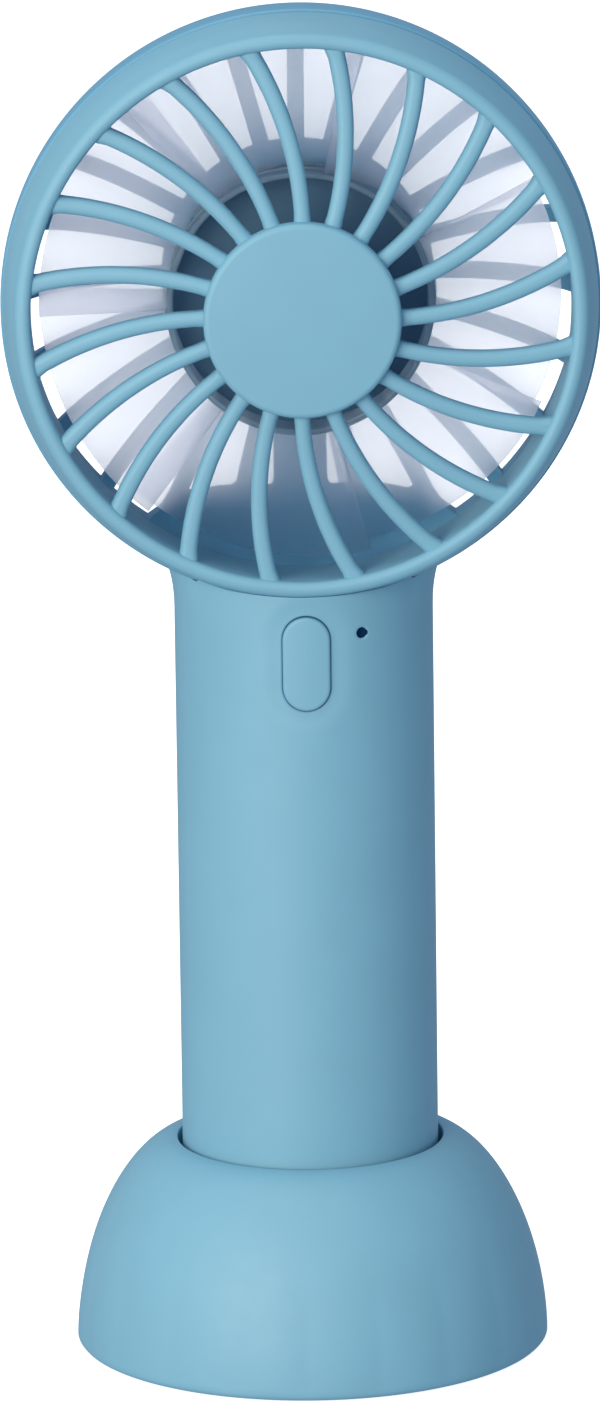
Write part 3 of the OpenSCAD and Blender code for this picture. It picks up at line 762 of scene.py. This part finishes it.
def handle_back():
    """Back half, with the charging port's hole and the flat slope."""
    hole = (usb_hi[0] - usb_lo[0] + 0.4, usb_hi[2] - usb_lo[2] + 0.4)
    usb_z = (usb_lo[2] + usb_hi[2]) / 2
    port = window(hole, (90, usb_z), (7.2, 4, 4), (0.7, 0.45, 0.25, 0.12, 0.05, 0))
    w0, w1, z0, z1 = port["box"]
    columns = [0, 0.4, 0.8] + through((2, w0, w1, 178), (42, 24, 42)) + [179.2, 179.6, 180]
    rows = [cap_top + 0.05, cap_top + 0.3] + through((cap_top + 1, z0, z1, 110), (44, 10, 8))
    base_top, stretched = rows[-1], 40
    rows += [base_top + 1 + i for i in range(stretched)]
    net = Net(columns, rows, [port])
    tops = {a: back_top(a) for a in columns}

    def height(a, z):
        """Rows above base_top stretch up to where their column ends."""
        return z if z <= base_top else mix(base_top, tops[a], (z - base_top) / stretched)

    def outer(p):
        a, z = p[0], height(*p)
        c, s = wave(a)
        r = cut_by_slope(handle_r, a, z, 0)
        if p[1] > base_top:  # swells as far as the front half at the seam, and further back up to the dome
            edge = handle_r + flare(a, 0)
            seam_top = head_floor(edge * c, edge * s)
            r += flare(a, mix(seam_top, tops[a] - 0.6, smooth(s * handle_r / 8)) - z)
        r -= edge_dip(from_outline(*hole, (a - 90) * DEG, z - usb_z), 0.4, 0.3)
        return on_base(r - seam_dip(min(a, 180 - a)), a, z)

    def inner(p):
        a, z = p[0], height(*p)
        return on_base(cut_by_slope(bore_r, a, z, handle_wall), a, z)

    shape = Shape().sheet(net.points, net.quads, outer, inner)
    piece("handle_back_shell", shape, BLUE, "fan", ["rear_shell"], crease=40)


def handle_cap():
    """End cap, with a collar that plugs into the handle."""
    collar_out, collar_in, floor_top, collar_top = bore_r - 0.05, bore_r - 1.6, cap_top - 0.5, cap_top + 5
    outline = rounded([
        (0, handle_lo, 0), (handle_r, handle_lo, 0.8), (handle_r, cap_top, 0.15), (collar_out, cap_top, 0),
        (collar_out, collar_top, 0.3), (collar_in, collar_top, 0.3), (collar_in, floor_top, 0.3),
        (0, floor_top, 0)], 6)
    piece("handle_end_cap", Shape().turn(outline, on_base), BLUE, "fan", ["handle_cap"])


def power_button():
    """A key with a gently crowned face that follows the handle, a rounded edge and a hidden flange."""
    edge, crown, flange_front, flange_back = 0.45, 0.02, 2.5, 3.1

    def outline(inset, depth, drop=0.0):
        return [Vector((x, depth - math.sqrt(button_face**2 - x * x), button_z + z - drop))
                for x, z in stadium(button_w - 2 * inset, button_h - 2 * inset, 20)]

    rings = [outline(-flange, depth, flange + flange_drop) for depth in (flange_back, flange_front)]
    rings.append(outline(0.0, flange_front))
    for a in spread(0, 90, 6):
        c, s = wave(a)
        rings.append(outline(edge * (1 - c), edge * (1 - s) + crown))
    for inset in (0.8, 1.4, 2.2, 3.2, 3.9):
        rings.append(outline(inset, crown * (1 - smooth(inset / 4))))
    piece("power_key", Shape().loft(rings), BLUE, "button", ["power_button"])


# ---------------------------------------------------------------- base
def dome_radius(r, t):
    """Radius of a dome with foot radius r, at t of its height."""
    return mouth_r + (r - mouth_r) * (1 - t**1.75) ** (1 / 1.8)


def fluted(r, a, z):
    """A point of the stand; its flank has very faint upright flutes."""
    if r > base_r - 16 and z < base_h - 3:
        ridge = abs(math.sin(math.radians((a + flute_phase) * flutes / 2)))
        r -= flute_d * (1 - ridge) * smooth((flute_top - z) / flute_fade) * smooth(z / flute_foot)
    return on_base(r, a, z)


def base_shell():
    """Domed stand with a socket for the handle, hollow underneath."""
    levels = [1 - (1 - i / 60) ** 1.5 for i in range(60)]
    dome = [(dome_radius(base_r, t), mix(foot_round, base_h, t)) for t in levels]
    foot_in, foot_z = base_r - foot_round, foot_round + 0.3
    foot = [(base_r - 2.4, 0.3), (foot_in, 0.3)]
    for a in spread(-75, -12, 6):
        c, s = wave(a)
        foot.append((foot_in + foot_round * c, foot_z + foot_round * s))
    lip = [(mouth_r + 0.25, base_h - 0.02), (mouth_r, base_h), (socket_r + 0.05, base_h - 0.12),
           (socket_r, base_h - 0.5)]
    well_r, well_z = socket_r + 1.8, floor_z - 1.8
    well = [(socket_r, floor_z + 0.6), (socket_r - 0.6, floor_z), (0, floor_z), (0, well_z), (well_r, well_z),
            (well_r, base_h - 7.5)]
    room = [(dome_radius(base_r - base_wall, t), (base_h - base_wall) * t + 0.3)
            for t in (0.7, 0.55, 0.4, 0.25, 0.12, 0.03, 0.0)]
    outline = foot + [(r, z) for r, z in dome if z > foot_z] + lip + well + room
    piece("base_dome", Shape().turn(outline, fluted, 360), BLUE, "base", ["base_shell"])


def foot_pad():
    """Soft ring under the stand."""
    pad_in, pad_out, pad_h = 34.5, 38.0, 1.2
    outline = rounded([(pad_in, 0, 0.4), (pad_out, 0, 0.4), (pad_out, pad_h, 0.1), (pad_in, pad_h, 0.1)], 4)
    piece("foot_ring", Shape().turn(outline, on_base, 128), RUBBER, "base", ["foot_pad"])


front_grille()
hub_cap()
impeller_wall()
impeller_disc()
impeller_blades()
rear_head()
handle_front()
handle_back()
handle_cap()
power_button()
base_shell()
foot_pad()

# ---------------------------------------------------------------- finishes of the CAD parts that stay
FINISH = {
    # lead_cover and grille_catch take the darker copy of the blue, painted shade.
    "base_plate": PLATE, "base_weight": IRON, "base_screws": STEEL, "lead_cover": BLUE_PAINTED_SHADE,
    "grille_catch": BLUE_PAINTED_SHADE, "rotor_yoke": STEEL, "magnet_ring": MAGNET, "motor_shaft": STEEL,
    "shaft_clip": STEEL, "bearing_tube": BRASS, "front_bearing": STEEL, "rear_bearing": STEEL,
    "stator_core": IRON, "stator_coils": COPPER, "motor_board": SLATE, "motor_leads": WHITE,
    "main_board": BOARD, "board_screws": STEEL, "tact_switch": BLACK, "status_led": WHITE,
    "light_pipe": LENS, "usb_socket": STEEL, "usb_board": BOARD, "charge_leads": RED,
    "battery_cell": WRAP, "battery_cradle": BLACK, "battery_pad": FOAM, "battery_tabs": STEEL,
    "battery_leads": RED,
}
for name, finish in FINISH.items():
    obj = bpy.data.objects[name]
    for holder in obj.material_slots:
        holder.material = finish
    if not obj.material_slots:
        obj.data.materials.append(finish)


# ---------------------------------------------------------------- floor, light and camera
def floor():
    """Pale floor that stays white in the picture by its own glow."""
    half, cells = 9000, 12
    lines = spread(-half, half, cells)
    net = Net(lines, lines)
    mesh = bpy.data.meshes.new("floor")
    mesh.from_pydata([(x * MM, y * MM, 0) for x, y in net.points], [], net.quads)
    obj = bpy.data.objects.new("floor", mesh)
    bpy.context.scene.collection.objects.link(obj)
    mesh.materials.append(material(
        "pale_floor", (0.9, 0.9, 0.9, 1), 0.9, grain=2.0, bump=0.02, mottle=0.005,
        Emission_Color=(1, 1, 1, 1), Emission_Strength=0.8))
    obj.visible_diffuse = obj.visible_glossy = False  # white for the picture, without lighting the fan


def light(name, energy, location, size, color=(1, 1, 1), target=(0, 0, 0.12)):
    """A softbox that faces the fan."""
    data = bpy.data.lights.new(name, "AREA")
    data.energy = energy
    data.color = color
    data.shape = "RECTANGLE"
    data.size, data.size_y = size
    obj = bpy.data.objects.new(name, data)
    obj.location = location
    obj.rotation_euler = (Vector(target) - obj.location).to_track_quat("-Z", "Y").to_euler()
    bpy.context.scene.collection.objects.link(obj)


floor()
world = bpy.data.worlds.new("studio")
bpy.context.scene.world = world
world.use_nodes = True
sky = world.node_tree.nodes["Background"]
sky.inputs["Color"].default_value = (0.88, 1.03, 1.22, 1)
sky.inputs["Strength"].default_value = 0.42
light("left_softbox", 17.5, (-0.75, -1.25, 0.45), (1.1, 0.9), (1.16, 1, 0.8))
light("overhead_softbox", 6.5, (-0.25, -0.3, 1.7), (0.8, 0.6), (1.1, 1, 0.88))
light("rear_softbox", 1.2, (0.1, 1.1, 1.5), (0.9, 0.7))

# Camera: how far and how high it stands, where it faces in radians, its lens in millimetres
DISTANCE, HEIGHT = 1.6928, 0.5141
TURN, PITCH, ROLL = -0.01693, 0.23353, -0.01284
SENSOR, LENS_LENGTH, SHIFT_X = 36, 264.1, -0.003476
camera = bpy.data.objects.new("camera", bpy.data.cameras.new("camera"))
bpy.context.scene.collection.objects.link(camera)
bpy.context.scene.camera = camera
eye = Vector((DISTANCE * math.sin(TURN), -DISTANCE * math.cos(TURN), HEIGHT))
look = Vector((-math.sin(TURN) * math.cos(PITCH), math.cos(TURN) * math.cos(PITCH), -math.sin(PITCH)))
level = Vector((math.cos(TURN), math.sin(TURN), 0))
upright = level.cross(look)
right = level * math.cos(ROLL) + upright * math.sin(ROLL)
above = upright * math.cos(ROLL) - level * math.sin(ROLL)
axes = Matrix((right, above, -look)).transposed()
camera.matrix_world = Matrix.Translation(eye) @ axes.to_4x4()
camera.data.sensor_width = SENSOR
camera.data.lens = LENS_LENGTH
camera.data.shift_x = SHIFT_X
camera.data.clip_end = 30
bpy.context.scene.view_settings.view_transform = "Standard"
